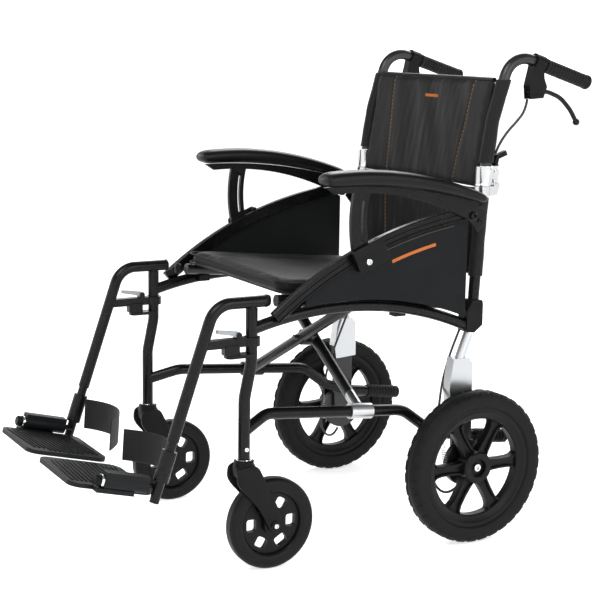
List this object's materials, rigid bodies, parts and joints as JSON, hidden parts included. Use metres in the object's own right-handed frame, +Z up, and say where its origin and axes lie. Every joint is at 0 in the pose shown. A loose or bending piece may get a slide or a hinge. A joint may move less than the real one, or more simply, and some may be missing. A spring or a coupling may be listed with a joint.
{
  "type": "manual wheelchair",
  "caption": "Folding attendant-pushed wheelchair with small rear wheels, swivel casters, flip-up arched armrests, swing-away leg rests and a half-folding back.",
  "frame": {"origin": "on the floor, under the middle of the chair's box", "axes": "the chair faces -Y, +X is the occupant's left, +Z is up"},
  "size_m": [0.588, 1.0983, 0.9555],
  "materials": {
    "frame_paint": "satin",
    "black_plastic": "fine grain",
    "chrome": "polished",
    "silver_alloy": "satin anodised",
    "cable": "satin",
    "panel": "fine grain",
    "wheel_plastic": "satin",
    "tyre": "matte",
    "pad": "satin polyurethane",
    "rubber": "matte",
    "grey_plastic": "satin",
    "footplate": "ribbed",
    "webbing": "woven",
    "nylon": "woven nylon"
  },
  "bodies": {
    "left_frame": {"left_front_post": "frame_paint", "left_upper_rail": "frame_paint", "left_lower_rail": "frame_paint", "left_corner_joint": "black_plastic", "left_back_post": "frame_paint", "left_back_hinge": "chrome", "left_axle_mount": "silver_alloy", "left_lower_cable": "cable", "left_arm_rail": "frame_paint", "left_side_panel": "panel", "lower_sling": "nylon"},
    "right_frame": {"right_front_post": "frame_paint", "right_upper_rail": "frame_paint", "right_lower_rail": "frame_paint", "right_corner_joint": "black_plastic", "right_back_post": "frame_paint", "right_back_hinge": "chrome", "right_axle_mount": "silver_alloy", "right_lower_cable": "cable", "right_arm_rail": "frame_paint", "right_side_panel": "panel"},
    "left_rear_wheel": {"left_rear_wheel": "wheel_plastic", "left_rear_tyre": "tyre"},
    "left_caster_fork": {"left_caster_fork": "black_plastic"},
    "left_caster_wheel": {"left_caster_wheel": "wheel_plastic"},
    "left_armrest": {"left_arm_post": "frame_paint", "left_arm_pad": "pad"},
    "left_back": {"left_cane": "frame_paint", "left_grip": "rubber", "left_brake_clamp": "black_plastic", "left_upper_cable": "cable", "upper_sling": "nylon"},
    "left_brake_lever": {"left_brake_lever": "frame_paint"},
    "left_back_latch": {"left_back_latch": "black_plastic"},
    "left_hanger": {"left_hanger_tube": "frame_paint", "left_footrest_stem": "silver_alloy", "left_heel_strap": "webbing"},
    "left_hanger_latch": {"left_hanger_latch": "grey_plastic"},
    "left_footplate": {"left_footplate": "footplate"},
    "right_rear_wheel": {"right_rear_wheel": "wheel_plastic", "right_rear_tyre": "tyre"},
    "right_caster_fork": {"right_caster_fork": "black_plastic"},
    "right_caster_wheel": {"right_caster_wheel": "wheel_plastic"},
    "right_armrest": {"right_arm_post": "frame_paint", "right_arm_pad": "pad"},
    "right_back": {"right_cane": "frame_paint", "right_grip": "rubber", "right_brake_clamp": "black_plastic", "right_upper_cable": "cable"},
    "right_brake_lever": {"right_brake_lever": "frame_paint"},
    "right_back_latch": {"right_back_latch": "black_plastic"},
    "right_hanger": {"right_hanger_tube": "frame_paint", "right_footrest_stem": "silver_alloy", "right_heel_strap": "webbing"},
    "right_hanger_latch": {"right_hanger_latch": "grey_plastic"},
    "right_footplate": {"right_footplate": "footplate"},
    "brace_a": {"brace_a": "frame_paint"},
    "brace_b": {"brace_b": "frame_paint"},
    "seat": {"seat_sling": "nylon"}
  },
  "joints": [
    {"name": "left_rear_wheel_spin", "type": "hinge", "parent": "left_frame", "child": "left_rear_wheel", "pos_m": [0.273, 0.264, 0.1525], "axis": [1, 0, 0], "continuous": true},
    {"name": "left_caster_swivel", "type": "hinge", "parent": "left_frame", "child": "left_caster_fork", "pos_m": [0.226, -0.2175, 0.22], "axis": [0, 0, 1], "continuous": true},
    {"name": "left_caster_spin", "type": "hinge", "parent": "left_caster_fork", "child": "left_caster_wheel", "pos_m": [0.226, -0.1625, 0.087], "axis": [1, 0, 0], "continuous": true},
    {"name": "left_armrest_flip", "type": "hinge", "parent": "left_frame", "child": "left_armrest", "pos_m": [0.25, 0.254, 0.647], "axis": [-1, 0, 0], "range_deg": [0, 92]},
    {"name": "left_back_fold", "type": "hinge", "parent": "left_frame", "child": "left_back", "pos_m": [0.222, 0.327, 0.701], "axis": [-1, 0, 0], "range_deg": [0, 100]},
    {"name": "left_brake_pull", "type": "hinge", "parent": "left_back", "child": "left_brake_lever", "pos_m": [0.222, 0.407, 0.878], "axis": [1, 0, 0], "range_deg": [0, 10], "stiffness_Nm_per_rad": 0.6, "springref_deg": -11.46},
    {"name": "left_back_release", "type": "hinge", "parent": "left_back", "child": "left_back_latch", "pos_m": [0.222, 0.326, 0.737], "axis": [-1, 0, 0], "range_deg": [0, 18], "stiffness_Nm_per_rad": 0.2, "springref_deg": -11.46},
    {"name": "left_hanger_swing", "type": "hinge", "parent": "left_frame", "child": "left_hanger", "pos_m": [0.226, -0.204, 0.49], "axis": [0, 0, 1], "range_deg": [0, 90]},
    {"name": "left_hanger_release", "type": "hinge", "parent": "left_hanger", "child": "left_hanger_latch", "pos_m": [0.226, -0.232, 0.45], "axis": [-1, 0, 0], "range_deg": [0, 16], "stiffness_Nm_per_rad": 0.15, "springref_deg": -11.46},
    {"name": "left_footplate_flip", "type": "hinge", "parent": "left_hanger", "child": "left_footplate", "pos_m": [0.218, -0.38779, 0.184], "axis": [0, 0.9703, -0.2419], "range_deg": [0, 90], "deforming": ["left_heel_strap"]},
    {"name": "right_rear_wheel_spin", "type": "hinge", "parent": "right_frame", "child": "right_rear_wheel", "pos_m": [-0.273, 0.264, 0.1525], "axis": [1, 0, 0], "continuous": true},
    {"name": "right_caster_swivel", "type": "hinge", "parent": "right_frame", "child": "right_caster_fork", "pos_m": [-0.226, -0.2175, 0.22], "axis": [0, 0, -1], "continuous": true},
    {"name": "right_caster_spin", "type": "hinge", "parent": "right_caster_fork", "child": "right_caster_wheel", "pos_m": [-0.226, -0.1625, 0.087], "axis": [1, 0, 0], "continuous": true},
    {"name": "right_armrest_flip", "type": "hinge", "parent": "right_frame", "child": "right_armrest", "pos_m": [-0.25, 0.254, 0.647], "axis": [-1, 0, 0], "range_deg": [0, 92]},
    {"name": "right_back_fold", "type": "hinge", "parent": "right_frame", "child": "right_back", "pos_m": [-0.222, 0.327, 0.701], "axis": [-1, 0, 0], "range_deg": [0, 100]},
    {"name": "right_brake_pull", "type": "hinge", "parent": "right_back", "child": "right_brake_lever", "pos_m": [-0.222, 0.407, 0.878], "axis": [1, 0, 0], "range_deg": [0, 10], "stiffness_Nm_per_rad": 0.6, "springref_deg": -11.46},
    {"name": "right_back_release", "type": "hinge", "parent": "right_back", "child": "right_back_latch", "pos_m": [-0.222, 0.326, 0.737], "axis": [-1, 0, 0], "range_deg": [0, 18], "stiffness_Nm_per_rad": 0.2, "springref_deg": -11.46},
    {"name": "right_hanger_swing", "type": "hinge", "parent": "right_frame", "child": "right_hanger", "pos_m": [-0.226, -0.204, 0.49], "axis": [0, 0, -1], "range_deg": [0, 90]},
    {"name": "right_hanger_release", "type": "hinge", "parent": "right_hanger", "child": "right_hanger_latch", "pos_m": [-0.226, -0.232, 0.45], "axis": [-1, 0, 0], "range_deg": [0, 16], "stiffness_Nm_per_rad": 0.15, "springref_deg": -11.46},
    {"name": "right_footplate_flip", "type": "hinge", "parent": "right_hanger", "child": "right_footplate", "pos_m": [-0.218, -0.38779, 0.184], "axis": [0, -0.9703, 0.2419], "range_deg": [0, 90], "deforming": ["right_heel_strap"]},
    {"name": "fold", "type": "hinge", "parent": "left_frame", "child": "brace_a", "pos_m": [0.2, 0.04483, 0.27108], "axis": [0, 0.9962, -0.0872], "range_deg": [0, 46], "deforming": ["seat_sling", "lower_sling", "upper_sling"]},
    {"name": "brace_cross", "type": "hinge", "parent": "brace_a", "child": "brace_b", "pos_m": [0, 0.03918, 0.37857], "axis": [0, 0.9962, -0.0872], "range_deg": [-92, 0]},
    {"name": "right_side_follow", "type": "hinge", "parent": "brace_b", "child": "right_frame", "pos_m": [-0.2, 0.01494, 0.27369], "axis": [0, 0.9962, -0.0872], "range_deg": [0, 46]},
    {"name": "seat_follow", "type": "hinge", "parent": "brace_b", "child": "seat", "pos_m": [0.2, 0.03352, 0.48607], "axis": [0, 0.9962, -0.0872], "range_deg": [0, 46]}
  ],
  "couplings": [
    {"joint": "brace_cross", "follows": "fold", "ratio": -2},
    {"joint": "right_side_follow", "follows": "fold", "ratio": 1},
    {"joint": "seat_follow", "follows": "fold", "ratio": 1},
    {"joint": "left_footplate_flip", "follows": "fold", "ratio": 1.95},
    {"joint": "right_footplate_flip", "follows": "fold", "ratio": 1.95},
    {"joint": "right_back_fold", "follows": "left_back_fold", "ratio": 1}
  ]
}
